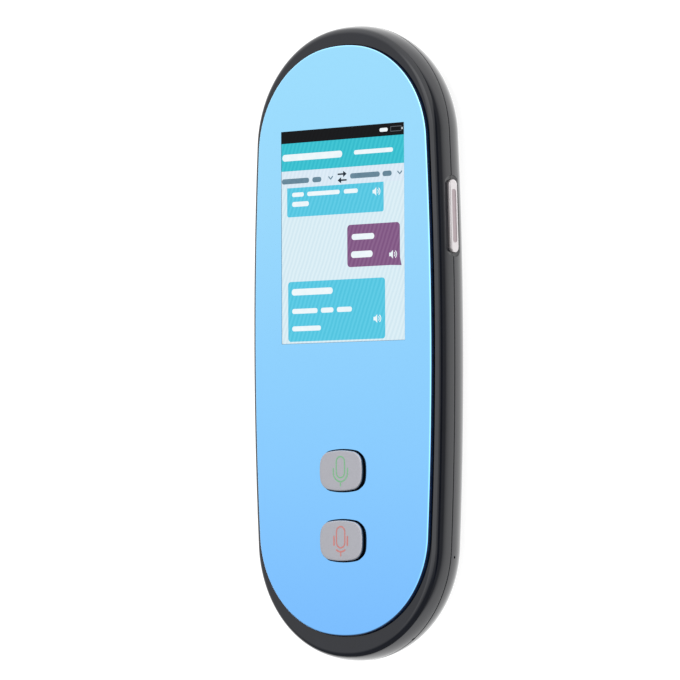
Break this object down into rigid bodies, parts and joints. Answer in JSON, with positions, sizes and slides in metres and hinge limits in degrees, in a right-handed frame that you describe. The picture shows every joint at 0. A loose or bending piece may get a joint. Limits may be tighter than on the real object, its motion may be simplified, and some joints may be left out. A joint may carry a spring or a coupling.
{
  "type": "handheld translator",
  "caption": "Slim round-ended handheld voice translator with a mirror front, portrait screen, talk keys and a side key",
  "frame": {"origin": "centre of the flat back face, with the device lying on its back", "axes": "+X to the side with the side key, +Y to the screen end, +Z out of the front"},
  "size_m": [0.0576, 0.1448, 0.0136],
  "materials": {
    "gloss_black": "gloss, moulded",
    "blue_mirror": "blue mirror coating on acrylic",
    "black_tape": "matt adhesive foam",
    "touch_glass": "clear, polished",
    "display_cell": "lit picture",
    "white_plastic": "satin",
    "amber_film": "polyimide film",
    "key_black": "gloss",
    "key_silver": "metallic lacquer",
    "grey_silicone": "matt silicone",
    "nickel": "tinned steel",
    "black_plastic": "matt",
    "board_green": "solder mask",
    "chip_black": "epoxy",
    "connector_cream": "moulded nylon",
    "screw_steel": "zinc plated",
    "gold_metal": "gold flash",
    "black_rubber": "matt",
    "pouch_foil": "laminated foil",
    "lead_wire": "insulated wire",
    "cream_tape": "double-sided tape",
    "dark_foam": "open foam",
    "speaker_black": "moulded",
    "mesh_black": "fine woven mesh",
    "copper_film": "copper on film"
  },
  "bodies": {
    "casing": {"rear_shell": "gloss_black", "front_shell": "gloss_black", "front_panel": "blue_mirror", "panel_tape": "black_tape", "touch_glass": "touch_glass", "display_cell": "display_cell", "backlight_unit": "white_plastic", "display_flex": "amber_film", "upper_key_dome": "grey_silicone", "lower_key_dome": "grey_silicone", "side_switch_body": "nickel", "side_switch_board": "board_green", "side_key_flex": "amber_film", "main_board": "board_green", "radio_shield": "nickel", "processor_shield": "nickel", "memory_chip": "chip_black", "board_chips": "chip_black", "board_connectors": "connector_cream", "reset_switch_body": "nickel", "usb_socket": "nickel", "usb_tongue": "black_plastic", "board_screws": "screw_steel", "microphone": "gold_metal", "microphone_boot": "black_rubber", "battery_cell": "pouch_foil", "battery_board": "board_green", "battery_leads": "lead_wire", "battery_tape": "cream_tape", "battery_foam": "dark_foam", "speaker": "speaker_black", "speaker_gasket": "dark_foam", "speaker_mesh": "mesh_black", "speaker_springs": "gold_metal", "wifi_antenna": "copper_film", "antenna_cable": "black_rubber", "antenna_plug": "gold_metal"},
    "upper_key": {"upper_key_body": "key_black", "upper_key_face": "key_silver"},
    "lower_key": {"lower_key_body": "key_black", "lower_key_face": "key_silver"},
    "side_key": {"side_key": "key_silver", "side_switch_plunger": "black_plastic"},
    "reset_button": {"reset_plunger": "black_plastic"}
  },
  "joints": [
    {"name": "upper_key_press", "type": "slide", "parent": "casing", "child": "upper_key", "axis": [0, 0, -1], "range_m": [0, 0.0005], "stiffness_N_per_m": 2000, "springref_m": -0.0002, "deforming": ["upper_key_dome"]},
    {"name": "lower_key_press", "type": "slide", "parent": "casing", "child": "lower_key", "axis": [0, 0, -1], "range_m": [0, 0.0005], "stiffness_N_per_m": 2000, "springref_m": -0.0002, "deforming": ["lower_key_dome"]},
    {"name": "side_key_press", "type": "slide", "parent": "casing", "child": "side_key", "axis": [-1, 0, 0], "range_m": [0, 0.00025], "stiffness_N_per_m": 5000, "springref_m": -0.00005},
    {"name": "reset_press", "type": "slide", "parent": "casing", "child": "reset_button", "axis": [-1, 0, 0], "range_m": [0, 0.0002], "stiffness_N_per_m": 5000, "springref_m": -0.00005}
  ]
}
